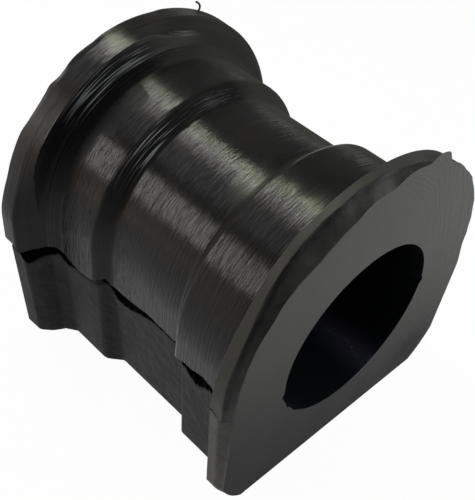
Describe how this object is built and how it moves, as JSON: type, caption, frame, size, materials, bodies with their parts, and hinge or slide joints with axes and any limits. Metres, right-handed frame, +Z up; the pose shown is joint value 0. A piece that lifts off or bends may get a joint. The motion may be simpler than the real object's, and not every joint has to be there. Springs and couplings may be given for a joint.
{
  "type": "sway bar bushing",
  "caption": "One-piece rubber bushing with a round through bore, a half-round upper half, a flat base and a clamp groove between raised end flanges.",
  "frame": {"origin": "on the flat base, right under the bore's axis and midway along its length", "axes": "+X along the bore towards the trimmed end, +Y across the width, +Z up from the base; the joint line's tears are on the -Y side"},
  "size_m": [0.0504, 0.0563, 0.0538],
  "materials": {
    "black_rubber": "moulded black rubber, soft shine on the round surfaces and duller on the flats and the cut end"
  },
  "bodies": {
    "root": {"bushing": "black_rubber"}
  },
  "joints": []
}
